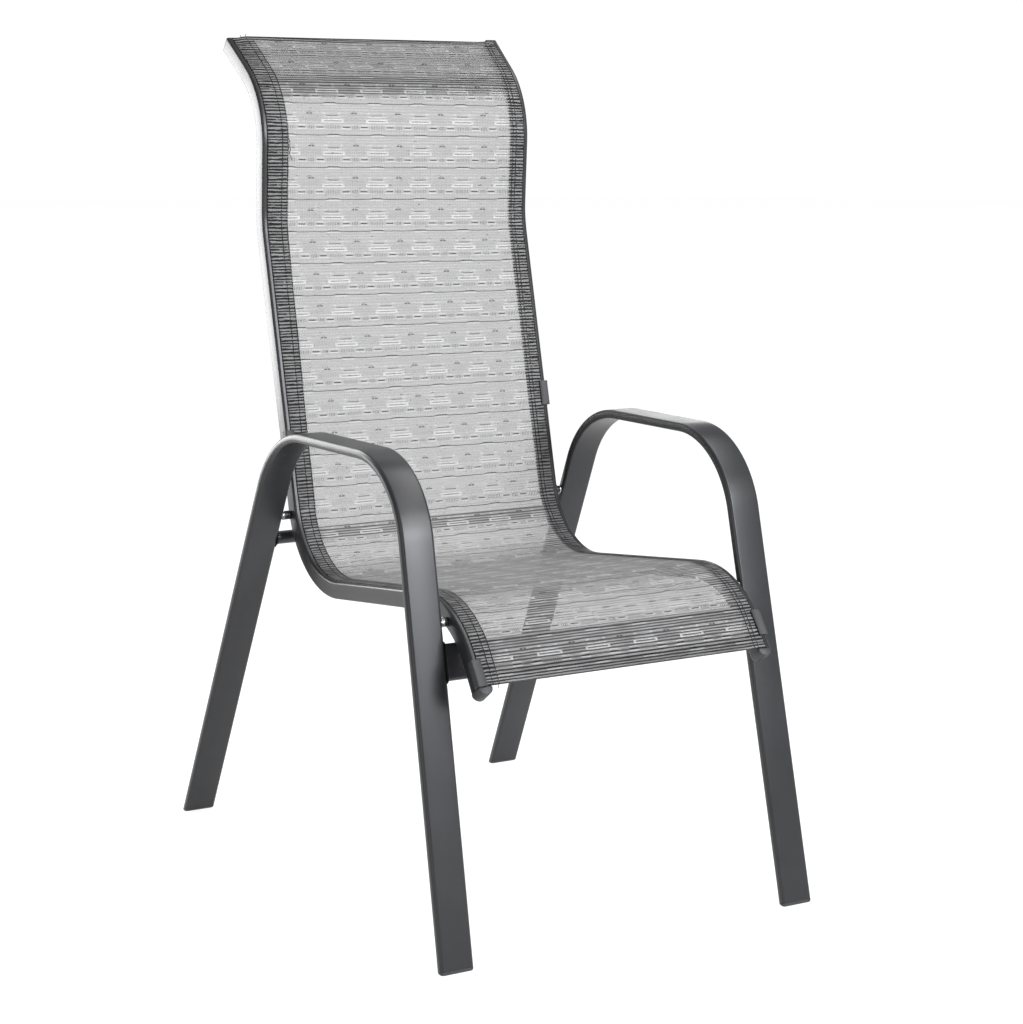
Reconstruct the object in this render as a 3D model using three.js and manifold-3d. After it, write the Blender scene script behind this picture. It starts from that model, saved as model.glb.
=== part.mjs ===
// Stacking patio chair: two bent flat-tube side loops, two crossbars, a curled sling seat on two rails.
// Millimetres. -Y is the front and +Z is up. Left and right are as seen from the front: left is -X.
// Every side view lies in the YZ plane.
import * as THREE from 'three';
import { mergeVertices } from 'three/addons/utils/BufferGeometryUtils.js';
import Module from 'manifold-3d';

const wasm = await Module();
wasm.setup();

// Side loops: where the centreline's straight runs would meet, seen from the side.
const footDepth = 787;
const armFrontY = 138.2;
const armFrontZ = 604.5;
const armRearY = 489;
const armRearZ = 599.3;
const frontBendRadius = 122;
const rearBendRadius = 139;

// Side loops: centre to centre across the chair. They lean outwards on their way down.
const armSpacing = 479.3;
const frontFootSpacing = 505.8;
const rearFootSpacing = 517.6;

// Flat tube of the loops and crossbars.
const tubeWidth = 46;
const tubeThickness = 12;
const tubeCorner = 4.5;
const tubeWall = 1.4;

// Sling rails: the front face's path seen from the side, as corners with bend radii.
const railFootY = 10.9;
const railFootZ = 346.2;
const kneeY = 81.6;
const kneeZ = 445.7;
const kneeRadius = 136;
const hipY = 513.9;
const hipZ = 391;
const hipRadius = 112;
const shoulderY = 627.6;
const shoulderZ = 867.6;
const shoulderRadius = 149;
const neckY = 616.7;
const neckZ = 1040.4;
const neckRadius = 123;
const railTopY = 723;
const railTopZ = 1119.8;

// Past the neck the rails spread outwards by this much at their top ends.
const topFlare = 6;

// Section of a sling rail: a rolled box with a slot in its front face.
const railWidth = 19;
const railDepth = 23.4;
const railCorner = 3;
const railWall = 1.6;
const slotFromEdge = 8.2;
const slotWidth = 3.2;

// Sling, with a spline rod inside each edge.
const slingThickness = 1.2;
const slingFootInset = 0.6;
const slingTopInset = 1;
const rodDiameter = 5;
const rodEndInset = 15;

// Crossbars and the spreader behind the head.
const frontBarDrop = 51;
const rearBarDrop = 41.6;
const rearBarDiameter = 18;
const spreaderDiameter = 19;
const spreaderFromTop = 90.5;

// Rail joints: bolt, spacer, washer and a threaded insert in the loop. The rails' width follows from
// the spacers' lengths.
const frontJointDrop = 3;
const rearJointDrop = 8;
const boltDiameter = 5;
const boltHeadDiameter = 9.5;
const boltHeadHeight = 3.2;
const boltHole = 5.6;
const spacerDiameter = 12;
const frontSpacerLength = 5.5;
const rearSpacerLength = 10;
const washerDiameter = 13;
const washerThickness = 1.2;
const insertDiameter = 7.6;
const insertFlangeDiameter = 10.6;
const insertFlangeThickness = 1;
const insertLength = 11;

// Foot glides.
const glideLipHeight = 5;
const glideRound = 3;
const glidePlugHeight = 20;

// Rail end caps.
const capTopThickness = 2;
const capPlugLength = 12;
const capPlugSetback = 9;

// Bumper clips on the rails: distances are along the rail's front face from its lower end.
const clipLength = 35;
const clipThickness = 1.8;
const clipSideReach = 7;
const clipHemReach = 3.6;
const leftFrontClipStart = 0.4;
const rightFrontClipStart = 18;
const leftBackClipTopZ = 589;
const rightBackClipTopZ = 632;

// Clearances and mesh steps.
const gap = 0.3;
const slideFit = 0.5;
const cutOverrun = 2;
const bendStep = THREE.MathUtils.degToRad(8);
const roundStep = THREE.MathUtils.degToRad(45);
const cornerSegments = 2;
const roundSides = 12;

const powderCoat = { color: 0x4a4c50, roughness: 0.42, metalness: 0.25 };
const clipPlastic = { color: 0x626367, roughness: 0.55, metalness: 0 };
const blackPlastic = { color: 0x1d1e20, roughness: 0.6, metalness: 0 };
const zincPlate = { color: 0xb4b6b8, roughness: 0.35, metalness: 0.9 };
const slingMesh = { color: 0xb9bab8, roughness: 0.8, metalness: 0 };
const rodPlastic = { color: 0xd8d8d4, roughness: 0.5, metalness: 0 };

const chair = new THREE.Group();

function addMesh(name, geometry, finish) {
  const mesh = new THREE.Mesh(geometry, new THREE.MeshStandardMaterial(finish));
  mesh.name = name;
  chair.add(mesh);
  return mesh;
}

// A place on a side-view route: its position, its unit tangent, and the normal that points to the
// sitter or out of the loop. A section there is moved by x and scaled by deepen and widen.
function placeOn(y, z, ty, tz, distance) {
  return { y, z, ty, tz, ny: -tz, nz: ty, distance, x: 0, deepen: 1, widen: 1 };
}

// A side-view route of straight runs and round bends.
class BentLine {
  constructor(corners) {
    this.pieces = [];
    this.length = 0;
    let from = new THREE.Vector2(corners[0].y, corners[0].z);
    for (let i = 1; i < corners.length - 1; i += 1) {
      const corner = new THREE.Vector2(corners[i].y, corners[i].z);
      const before = new THREE.Vector2(corners[i - 1].y, corners[i - 1].z);
      const after = new THREE.Vector2(corners[i + 1].y, corners[i + 1].z);
      const tangentIn = corner.clone().sub(before).normalize();
      const tangentOut = after.clone().sub(corner).normalize();
      const turn = Math.atan2(tangentIn.cross(tangentOut), tangentIn.dot(tangentOut));
      const trim = corners[i].radius * Math.tan(Math.abs(turn) / 2);
      const start = corner.clone().addScaledVector(tangentIn, -trim);
      this.addRun(from, start);
      this.addBend(start, tangentIn, turn, corners[i].radius);
      from = corner.clone().addScaledVector(tangentOut, trim);
    }
    const last = corners[corners.length - 1];
    this.addRun(from, new THREE.Vector2(last.y, last.z));
  }

  addRun(from, to) {
    const length = from.distanceTo(to);
    const tangent = to.clone().sub(from).normalize();
    this.pieces.push({ start: this.length, length, steps: 1, from, tangent, turn: 0 });
    this.length += length;
  }

  addBend(from, tangent, turn, radius) {
    const length = radius * Math.abs(turn);
    const steps = Math.ceil(Math.abs(turn) / bendStep);
    this.pieces.push({ start: this.length, length, steps, from, tangent, turn, radius });
    this.length += length;
  }

  at(distance) {
    const piece = this.pieces.find((item) => distance <= item.start + item.length)
      ?? this.pieces[this.pieces.length - 1];
    const along = distance - piece.start;
    const { from, tangent, turn, radius } = piece;
    if (turn === 0) {
      return placeOn(from.x + tangent.x * along, from.y + tangent.y * along, tangent.x, tangent.y, distance);
    }
    const swung = tangent.clone().rotateAround(new THREE.Vector2(), Math.sign(turn) * along / radius);
    const reach = radius * Math.sign(turn);
    const y = from.x + reach * (swung.y - tangent.y);
    const z = from.y - reach * (swung.x - tangent.x);
    return placeOn(y, z, swung.x, swung.y, distance);
  }

  // The places that a sweep needs between two distances: its ends, the ends of bends and steps in them.
  stations(from, to) {
    const places = [from];
    for (const piece of this.pieces) {
      for (let i = 0; i < piece.steps; i += 1) {
        const distance = piece.start + piece.length * i / piece.steps;
        if (distance > from + gap && distance < to - gap) {
          places.push(distance);
        }
      }
    }
    places.push(to);
    return places.map((distance) => this.at(distance));
  }

  distanceAtHeight(height, from) {
    let low = from;
    let high = this.length;
    while (high - low > gap / 100) {
      const middle = (low + high) / 2;
      if (this.at(middle).z < height) {
        low = middle;
      } else {
        high = middle;
      }
    }
    return low;
  }
}

// The route that ExtrudeGeometry follows: shape x lies along the normal and shape y along world X.
class SideSweep extends THREE.Curve {
  constructor(places, x) {
    super();
    this.places = places;
    this.x = x;
  }

  getSpacedPoints() {
    return this.places.map(({ x, y, z }) => new THREE.Vector3(this.x + x, y, z));
  }

  computeFrenetFrames() {
    return {
      tangents: this.places.map(({ ty, tz }) => new THREE.Vector3(0, ty, tz)),
      normals: this.places.map(({ ny, nz, deepen }) => new THREE.Vector3(0, ny * deepen, nz * deepen)),
      binormals: this.places.map(({ widen }) => new THREE.Vector3(widen, 0, 0)),
    };
  }
}

function sweep(shape, places, x) {
  return new THREE.ExtrudeGeometry(shape, {
    steps: places.length - 1,
    curveSegments: cornerSegments,
    extrudePath: new SideSweep(places, x),
  });
}

// The same place with its section plane turned level, as where a leg is cut flat to the floor.
function levelled(place) {
  return { ...place, ny: -1 / place.tz, nz: 0 };
}

function roundedOutline(target, lowN, highN, lowX, highX, radius) {
  const right = Math.PI / 2;
  target.moveTo(lowN + radius, lowX);
  target.lineTo(highN - radius, lowX);
  target.absarc(highN - radius, lowX + radius, radius, -right, 0, false);
  target.lineTo(highN, highX - radius);
  target.absarc(highN - radius, highX - radius, radius, 0, right, false);
  target.lineTo(lowN + radius, highX);
  target.absarc(lowN + radius, highX - radius, radius, right, 2 * right, false);
  target.lineTo(lowN, lowX + radius);
  target.absarc(lowN + radius, lowX + radius, radius, 2 * right, 3 * right, false);
  return target;
}

function roundedSection(thickness, width, radius) {
  return roundedOutline(new THREE.Shape(), -thickness / 2, thickness / 2, -width / 2, width / 2, radius);
}

function tubeSection(thickness, width, radius, wall) {
  const outline = roundedSection(thickness, width, radius);
  outline.holes.push(roundedOutline(
    new THREE.Path(),
    wall - thickness / 2,
    thickness / 2 - wall,
    wall - width / 2,
    width / 2 - wall,
    radius - wall,
  ));
  return outline;
}

function outlineShape(points) {
  return new THREE.Shape(points.map(([n, x]) => new THREE.Vector2(n, x)));
}

// Closed solids for joining and cutting.
function toSolid(geometry) {
  const bare = geometry.index ? geometry.toNonIndexed() : geometry.clone();
  bare.deleteAttribute('normal');
  bare.deleteAttribute('uv');
  const merged = mergeVertices(bare, gap / 1000);
  return new wasm.Manifold(new wasm.Mesh({
    numProp: 3,
    vertProperties: new Float32Array(merged.attributes.position.array),
    triVerts: new Uint32Array(merged.index.array),
  }));
}

function toGeometry(solid) {
  const mesh = solid.getMesh();
  const geometry = new THREE.BufferGeometry();
  geometry.setAttribute('position', new THREE.BufferAttribute(mesh.vertProperties, 3));
  geometry.setIndex(new THREE.BufferAttribute(mesh.triVerts, 1));
  geometry.computeVertexNormals();
  return geometry;
}

function joined(geometries) {
  return toGeometry(geometries.map(toSolid).reduce((sum, solid) => sum.add(solid)));
}

function cut(geometry, tools) {
  return toGeometry(tools.map(toSolid).reduce((rest, tool) => rest.subtract(tool), toSolid(geometry)));
}

// A turned piece on a line along X: its profile holds [radius, distance] pairs, and side turns it round.
function turned(profile, side, x, y, z) {
  const points = profile.map(([radius, distance]) => new THREE.Vector2(radius, distance));
  const geometry = new THREE.LatheGeometry(points, roundSides);
  geometry.rotateZ(-side * Math.PI / 2);
  geometry.translate(x, y, z);
  return geometry;
}

function ringProfile(inner, outer, length) {
  return [[inner, 0], [outer, 0], [outer, length], [inner, length], [inner, 0]];
}

function rodProfile(radius, length) {
  return [[0, 0], [radius, 0], [radius, length], [0, length]];
}

// Routes of the two side views.
const loopLine = new BentLine([
  { y: 0, z: 0 },
  { y: armFrontY, z: armFrontZ, radius: frontBendRadius },
  { y: armRearY, z: armRearZ, radius: rearBendRadius },
  { y: footDepth, z: 0 },
]);
const railLine = new BentLine([
  { y: railFootY, z: railFootZ },
  { y: kneeY, z: kneeZ, radius: kneeRadius },
  { y: hipY, z: hipZ, radius: hipRadius },
  { y: shoulderY, z: shoulderZ, radius: shoulderRadius },
  { y: neckY, z: neckZ, radius: neckRadius },
  { y: railTopY, z: railTopZ },
]);
const hipBend = railLine.pieces[3];
const neckBend = railLine.pieces[7];

// The loops lean: their centre plane's distance from the middle changes with depth and height.
const loopToe = (rearFootSpacing - frontFootSpacing) / 2 / footDepth;
const loopLean = ((frontFootSpacing - armSpacing) / 2 + loopToe * armFrontY) / armFrontZ;

function loopCentreX(y, z) {
  return frontFootSpacing / 2 + loopToe * y - loopLean * z;
}

function loopInnerX(y, z) {
  return loopCentreX(y, z) - tubeWidth / 2;
}

// Moves what was built round x = 0 into a loop's leaning plane.
function leanOut(geometry, side) {
  return geometry.applyMatrix4(new THREE.Matrix4().set(
    1, side * loopToe, -side * loopLean, side * frontFootSpacing / 2,
    0, 1, 0, 0,
    0, 0, 1, 0,
    0, 0, 0, 1,
  ));
}

// Where a leg's centreline crosses the middle of the rail's depth, seen from the side.
function railCrossing(footY, armY, armZ, from, to) {
  const legY = (armY - footY) / armZ;
  const ahead = (distance) => {
    const place = railLine.at(distance);
    const y = place.y + place.tz * railDepth / 2;
    const z = place.z - place.ty * railDepth / 2;
    return { y, z, offset: y - footY - legY * z };
  };
  const startSign = Math.sign(ahead(from).offset);
  let low = from;
  let high = to;
  while (high - low > gap / 100) {
    const middle = (low + high) / 2;
    if (Math.sign(ahead(middle).offset) === startSign) {
      low = middle;
    } else {
      high = middle;
    }
  }
  return { ...ahead(low), distance: low };
}

// The place on a leg's centreline that lies a drop in height below a crossing.
function legPlace(crossing, drop, footY, armY, armZ) {
  const z = crossing.z - drop;
  return { y: footY + (armY - footY) * z / armZ, z, distance: crossing.distance };
}

const frontCrossing = railCrossing(0, armFrontY, armFrontZ, 0, hipBend.start);
const rearCrossing = railCrossing(footDepth, armRearY, armRearZ, hipBend.start, railLine.length);
const joints = [
  { word: 'front', ...legPlace(frontCrossing, frontJointDrop, 0, armFrontY, armFrontZ) },
  { word: 'rear', ...legPlace(rearCrossing, rearJointDrop, footDepth, armRearY, armRearZ) },
];
const [frontJoint, rearJoint] = joints;
const sides = [{ word: 'left', side: -1 }, { word: 'right', side: 1 }];

// How far the leaning inner face of a loop comes in over a disc of a given diameter.
function leanAcross(diameter) {
  return (Math.abs(loopToe) + Math.abs(loopLean)) * diameter / 2;
}

function insertFaceX({ y, z }) {
  return loopInnerX(y, z) - gap - insertFlangeThickness - leanAcross(insertFlangeDiameter);
}

function washerStartX(joint) {
  return insertFaceX(joint) - gap - washerThickness;
}

// The rails run straight from the hip to the neck at the rear joints' width, and spread or close
// towards the front joints as their spacers ask.
function railFaceX(joint, spacerLength) {
  return washerStartX(joint) - gap - spacerLength - gap;
}

const railOuterX = railFaceX(rearJoint, rearSpacerLength);
const frontJointFlare = railFaceX(frontJoint, frontSpacerLength) - railOuterX;
const railInnerX = railOuterX - railWidth;
const railCentreX = railOuterX - railWidth / 2;
const slotX = railOuterX - slotFromEdge;

// How far a rail has spread outwards at a distance along it.
function railFlare(distance) {
  const kneeShare = Math.max(0, hipBend.start - distance) / (hipBend.start - frontJoint.distance);
  const neckShare = Math.max(0, distance - neckBend.start) / (railLine.length - neckBend.start);
  return frontJointFlare * kneeShare ** 2 + topFlare * neckShare ** 2;
}

function flared(places, side) {
  return places.map((place) => ({ ...place, x: side * railFlare(place.distance) }));
}

function railStations(from, to, side) {
  return flared(railLine.stations(from, to), side);
}

// The least and the most that a rail has spread outwards beside a joint's disc.
function leastFlare(distance, diameter) {
  return Math.min(railFlare(distance - diameter / 2), railFlare(distance + diameter / 2));
}

function mostFlare(distance, diameter) {
  return Math.max(railFlare(distance - diameter / 2), railFlare(distance + diameter / 2));
}

// Side loops: from the front foot over the arm to the rear foot, cut level above the glides.
function loopGeometry(side) {
  const footDrop = (place) => glideLipHeight / Math.abs(place.tz);
  const frontFoot = footDrop(loopLine.at(0));
  const rearFoot = loopLine.length - footDrop(loopLine.at(loopLine.length));
  const stations = loopLine.stations(frontFoot, rearFoot);
  stations[0] = levelled(stations[0]);
  stations[stations.length - 1] = levelled(stations[stations.length - 1]);
  const tube = sweep(tubeSection(tubeThickness, tubeWidth, tubeCorner, tubeWall), stations, 0);
  leanOut(tube, side);
  const holes = joints.map(({ y, z }) => {
    const start = side * (loopInnerX(y, z) - cutOverrun);
    return turned(rodProfile(insertDiameter / 2 + gap, tubeWall + 2 * cutOverrun), side, start, y, z);
  });
  return cut(tube, holes);
}

for (const { word, side } of sides) {
  addMesh(`${word}_arm_loop`, loopGeometry(side), powderCoat);
}

// Front crossbar: a level prism whose ends follow the leaning inner faces of the loops.
function crossbar(y, z, tilt) {
  const section = tubeSection(tubeThickness, tubeWidth, tubeCorner, tubeWall);
  const geometry = new THREE.ExtrudeGeometry(section, {
    steps: 1,
    depth: tubeWidth,
    curveSegments: cornerSegments,
    bevelEnabled: false,
  });
  const position = geometry.attributes.position;
  for (let i = 0; i < position.count; i += 1) {
    const n = position.getX(i);
    const w = position.getY(i);
    const endSide = position.getZ(i) > tubeWidth / 2 ? 1 : -1;
    const pointY = y + n * Math.cos(tilt) - w * Math.sin(tilt);
    const pointZ = z + n * Math.sin(tilt) + w * Math.cos(tilt);
    position.setXYZ(i, endSide * (loopInnerX(pointY, pointZ) - gap), pointY, pointZ);
  }
  geometry.computeVertexNormals();
  return geometry;
}

const frontBar = legPlace(frontCrossing, frontBarDrop, 0, armFrontY, armFrontZ);
const rearBar = legPlace(rearCrossing, rearBarDrop, footDepth, armRearY, armRearZ);
const frontLegTilt = -Math.atan2(armFrontY, armFrontZ);
addMesh('front_crossbar', crossbar(frontBar.y, frontBar.z, frontLegTilt), powderCoat);

// A level round tube that reaches out to endX on both sides.
function roundBar(diameter, endX, y, z) {
  return turned(ringProfile(diameter / 2 - tubeWall, diameter / 2, 2 * endX), 1, -endX, y, z);
}

const rearBarEndX = loopInnerX(rearBar.y, rearBar.z) - gap - leanAcross(rearBarDiameter);
addMesh('rear_crossbar', roundBar(rearBarDiameter, rearBarEndX, rearBar.y, rearBar.z), powderCoat);

// Sling rails: an open section with the slot in its front face, drilled at the two joints.
function railSection(side) {
  const left = -railWidth / 2;
  const right = railWidth / 2;
  const slotOuter = right - slotFromEdge + slotWidth / 2;
  const slotInner = slotOuter - slotWidth;
  const quarter = Math.PI / 2;
  const shape = new THREE.Shape();
  shape.moveTo(0, slotOuter);
  shape.lineTo(0, right - railCorner);
  shape.absarc(-railCorner, right - railCorner, railCorner, 0, quarter, false);
  shape.lineTo(railCorner - railDepth, right);
  shape.absarc(railCorner - railDepth, right - railCorner, railCorner, quarter, 2 * quarter, false);
  shape.lineTo(-railDepth, left + railCorner);
  shape.absarc(railCorner - railDepth, left + railCorner, railCorner, 2 * quarter, 3 * quarter, false);
  shape.lineTo(-railCorner, left);
  shape.absarc(-railCorner, left + railCorner, railCorner, 3 * quarter, 4 * quarter, false);
  shape.lineTo(0, slotInner);
  shape.lineTo(-railWall, slotInner);
  shape.lineTo(-railWall, left + railWall);
  shape.lineTo(railWall - railDepth, left + railWall);
  shape.lineTo(railWall - railDepth, right - railWall);
  shape.lineTo(-railWall, right - railWall);
  shape.lineTo(-railWall, slotOuter);
  return outlineShape(shape.extractPoints(cornerSegments).shape.map(({ x, y }) => [x, side * y]));
}

for (const { word, side } of sides) {
  const rail = sweep(railSection(side), railStations(0, railLine.length, side), side * railCentreX);
  const holes = joints.map(({ y, z, distance }) => turned(
    rodProfile(boltHole / 2, railWidth + 2 * cutOverrun),
    side,
    side * (railInnerX + railFlare(distance) - cutOverrun),
    y,
    z,
  ));
  addMesh(`${word}_sling_rail`, cut(rail, holes), powderCoat);
}

// The spreader holds the rails apart behind the head, in the middle of their depth.
const spreaderPlace = railLine.at(railLine.length - spreaderFromTop);
const spreaderEndX = railInnerX + leastFlare(spreaderPlace.distance, spreaderDiameter) - gap;
const spreader = roundBar(
  spreaderDiameter,
  spreaderEndX,
  spreaderPlace.y + spreaderPlace.tz * railDepth / 2,
  spreaderPlace.z - spreaderPlace.ty * railDepth / 2,
);
addMesh('back_spreader', spreader, powderCoat);

// Sling: one sheet over the rails' inner halves, whose edges turn down into the slots.
const rodTop = -railWall - slideFit;
const slingSection = outlineShape([
  [rodTop + gap, -slotX - slingThickness / 2],
  [gap + slingThickness, -slotX - slingThickness / 2],
  [gap + slingThickness, slotX + slingThickness / 2],
  [rodTop + gap, slotX + slingThickness / 2],
  [rodTop + gap, slotX - slingThickness / 2],
  [gap, slotX - slingThickness / 2],
  [gap, slingThickness / 2 - slotX],
  [rodTop + gap, slingThickness / 2 - slotX],
]);
const slingPlaces = railLine.stations(slingFootInset, railLine.length - slingTopInset)
  .map((place) => ({ ...place, widen: 1 + railFlare(place.distance) / slotX }));
addMesh('sling_fabric', sweep(slingSection, slingPlaces, 0), slingMesh);

// Spline rods: they lie inside the rails under the slots and can't pass through them.
const rodSection = new THREE.Shape();
rodSection.absarc(rodTop - rodDiameter / 2, 0, rodDiameter / 2, 0, 2 * Math.PI, false);
for (const { word, side } of sides) {
  const places = railStations(rodEndInset, railLine.length - rodEndInset, side);
  addMesh(`${word}_spline_rod`, sweep(rodSection, places, side * slotX), rodPlastic);
}

// Foot glides: a lip on the floor, rounded underneath, and a plug inside the leg.
function glideGeometry(foot, direction, side) {
  const place = (height, inset) => ({
    ...levelled(foot),
    y: foot.y + direction * foot.ty * height / Math.abs(foot.tz),
    z: height,
    deepen: 1 - 2 * inset / tubeThickness,
    widen: 1 - 2 * inset / tubeWidth,
  });
  const rounding = [0, roundStep, 2 * roundStep]
    .map((angle) => place(glideRound * (1 - Math.cos(angle)), glideRound * (1 - Math.sin(angle))));
  const lipPlaces = [...rounding, place(glideLipHeight - gap, 0)];
  const plugPlaces = [place(glideRound, 0), place(glidePlugHeight, 0)];
  if (direction < 0) {
    lipPlaces.reverse();
    plugPlaces.reverse();
  }
  const bore = 2 * (tubeWall + slideFit);
  const lip = roundedSection(tubeThickness, tubeWidth, tubeCorner);
  const plug = roundedSection(tubeThickness - bore, tubeWidth - bore, tubeCorner - bore / 2);
  return leanOut(joined([sweep(lip, lipPlaces, 0), sweep(plug, plugPlaces, 0)]), side);
}

const feet = [
  { word: 'front', foot: loopLine.at(0), direction: 1 },
  { word: 'rear', foot: loopLine.at(loopLine.length), direction: -1 },
];
for (const { word, side } of sides) {
  for (const { word: end, foot, direction } of feet) {
    addMesh(`${word}_${end}_glide`, glideGeometry(foot, direction, side), blackPlastic);
  }
}

// Rail end caps: a plug behind the spline rod, with a flat plate on top and a round end at the foot.
const plugMargin = railWall + slideFit;
const plugShape = roundedOutline(
  new THREE.Shape(),
  plugMargin - railDepth,
  -capPlugSetback,
  plugMargin - railWidth / 2,
  railWidth / 2 - plugMargin,
  plugMargin / 2,
);
const plateShape = roundedOutline(
  new THREE.Shape(),
  -railDepth,
  0,
  -railWidth / 2,
  railWidth / 2,
  railCorner,
);

// Two places on the straight line that goes on from a rail's end.
function straightFrom(distance, from, to, side) {
  const base = railLine.at(distance);
  const run = (length) => ({ ...base, y: base.y + base.ty * length, z: base.z + base.tz * length });
  return flared([run(from), run(to)], side);
}

function topCap(side) {
  const end = railLine.length;
  const plate = sweep(plateShape, straightFrom(end, gap, gap + capTopThickness, side), side * railCentreX);
  const neck = sweep(plugShape, straightFrom(end, -gap, 2 * gap, side), side * railCentreX);
  const plug = sweep(plugShape, railStations(end - capPlugLength, end, side), side * railCentreX);
  return joined([plate, neck, plug]);
}

// The foot cap is a half round as wide as the rail, seen from the front, and as deep as the rail.
function footCap(side) {
  const base = railLine.at(0);
  const halfRound = new THREE.Shape();
  halfRound.absarc(0, 0, railWidth / 2, Math.PI, 2 * Math.PI, false);
  const round = new THREE.ExtrudeGeometry(halfRound, {
    steps: 1,
    depth: railDepth,
    curveSegments: 2 * cornerSegments,
    bevelEnabled: false,
  });
  round.applyMatrix4(new THREE.Matrix4().makeBasis(
    new THREE.Vector3(1, 0, 0),
    new THREE.Vector3(0, base.ty, base.tz),
    new THREE.Vector3(0, base.ny, base.nz),
  ));
  const x = side * (railCentreX + railFlare(0));
  const back = base.y - base.ny * railDepth;
  round.translate(x, back - base.ty * gap, base.z - base.nz * railDepth - base.tz * gap);
  const neck = sweep(plugShape, straightFrom(0, -2 * gap, gap, side), side * railCentreX);
  const plug = sweep(plugShape, railStations(0, capPlugLength, side), side * railCentreX);
  return joined([round, neck, plug]);
}

for (const { word, side } of sides) {
  addMesh(`${word}_top_cap`, topCap(side), clipPlastic);
  addMesh(`${word}_foot_cap`, footCap(side), clipPlastic);
}

// Bumper clips: over the rail's outer front edge, with a lip that laps the sling's hem.
function clipGeometry(side, start) {
  const edge = railWidth / 2;
  const hemX = edge - slotFromEdge + slingThickness / 2 + gap;
  const plateTop = gap + slingThickness + gap + clipThickness;
  const points = [
    [-clipSideReach, edge + gap],
    [gap, edge + gap],
    [gap, hemX],
    [plateTop - clipThickness, hemX],
    [plateTop - clipThickness, hemX - clipHemReach],
    [plateTop, hemX - clipHemReach],
    [plateTop, edge],
    [plateTop - clipThickness, edge + gap + clipThickness],
    [-clipSideReach, edge + gap + clipThickness],
  ];
  const section = outlineShape(points.map(([n, x]) => [n, side * x]));
  return sweep(section, railStations(start, start + clipLength, side), side * railCentreX);
}

const backClipFrom = hipBend.start + hipBend.length;
const clips = [
  { name: 'left_front_bumper', side: -1, start: leftFrontClipStart },
  { name: 'right_front_bumper', side: 1, start: rightFrontClipStart },
  {
    name: 'left_back_bumper',
    side: -1,
    start: railLine.distanceAtHeight(leftBackClipTopZ, backClipFrom) - clipLength,
  },
  {
    name: 'right_back_bumper',
    side: 1,
    start: railLine.distanceAtHeight(rightBackClipTopZ, backClipFrom) - clipLength,
  },
];
for (const { name, side, start } of clips) {
  addMesh(name, clipGeometry(side, start), clipPlastic);
}

// The four rail joints, from the rail's inner face outwards.
function bolt(side, joint) {
  const { y, z, distance } = joint;
  const start = railInnerX + leastFlare(distance, boltHeadDiameter) - gap - boltHeadHeight;
  const length = insertFaceX(joint) + insertLength - start;
  const profile = [
    [0, 0],
    [boltHeadDiameter / 2, 0],
    [boltHeadDiameter / 2, boltHeadHeight],
    [boltDiameter / 2, boltHeadHeight],
    [boltDiameter / 2, length],
    [0, length],
  ];
  return turned(profile, side, side * start, y, z);
}

function spacer(side, joint) {
  const { y, z, distance } = joint;
  const start = railOuterX + mostFlare(distance, spacerDiameter) + gap;
  const length = washerStartX(joint) - gap - start;
  return turned(ringProfile(boltHole / 2, spacerDiameter / 2, length), side, side * start, y, z);
}

function washer(side, joint) {
  const profile = ringProfile(boltHole / 2, washerDiameter / 2, washerThickness);
  return turned(profile, side, side * washerStartX(joint), joint.y, joint.z);
}

function insert(side, joint) {
  const profile = [
    [boltHole / 2, 0],
    [insertFlangeDiameter / 2, 0],
    [insertFlangeDiameter / 2, insertFlangeThickness],
    [insertDiameter / 2, insertFlangeThickness],
    [insertDiameter / 2, insertLength],
    [boltHole / 2, insertLength],
    [boltHole / 2, 0],
  ];
  return turned(profile, side, side * insertFaceX(joint), joint.y, joint.z);
}

for (const { word, side } of sides) {
  for (const joint of joints) {
    addMesh(`${word}_${joint.word}_bolt`, bolt(side, joint), zincPlate);
    addMesh(`${word}_${joint.word}_spacer`, spacer(side, joint), blackPlastic);
    addMesh(`${word}_${joint.word}_washer`, washer(side, joint), zincPlate);
    addMesh(`${word}_${joint.word}_insert`, insert(side, joint), zincPlate);
  }
}

// The origin is the middle of the floor area that the chair covers.
const middle = new THREE.Box3().setFromObject(chair).getCenter(new THREE.Vector3());
chair.position.y = -middle.y;
chair.updateMatrixWorld(true);

export default chair;
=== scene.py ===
"""Looks of the sling patio chair: smooth tubes, welds, clips, fixings and the woven sling.

Shapes are worked out in millimetres in the side view's own frame and moved by SHIFT in depth.
A route's normal points to the sitter, or out of the loop. "left" is -X, as seen from the front.
"""

import functools
import math
import random
from types import SimpleNamespace

import bmesh
import bpy
from mathutils import Matrix, Vector


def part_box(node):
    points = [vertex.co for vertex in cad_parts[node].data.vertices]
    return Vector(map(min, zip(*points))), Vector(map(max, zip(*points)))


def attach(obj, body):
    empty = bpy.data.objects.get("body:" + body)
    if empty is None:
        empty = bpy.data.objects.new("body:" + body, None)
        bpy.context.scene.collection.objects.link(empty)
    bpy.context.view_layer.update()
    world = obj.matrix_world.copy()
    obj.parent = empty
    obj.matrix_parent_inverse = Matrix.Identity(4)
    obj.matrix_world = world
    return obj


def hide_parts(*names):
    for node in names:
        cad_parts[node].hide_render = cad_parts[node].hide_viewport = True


random.seed(11)
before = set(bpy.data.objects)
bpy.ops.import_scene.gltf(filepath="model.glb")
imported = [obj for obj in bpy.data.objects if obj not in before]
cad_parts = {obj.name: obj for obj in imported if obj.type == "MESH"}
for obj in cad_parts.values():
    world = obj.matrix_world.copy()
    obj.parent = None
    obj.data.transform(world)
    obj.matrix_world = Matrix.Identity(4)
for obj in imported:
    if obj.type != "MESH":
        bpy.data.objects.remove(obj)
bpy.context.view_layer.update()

MM = 0.001
SHIFT = -393.407
SIDES = (("left", -1), ("right", 1))


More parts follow.
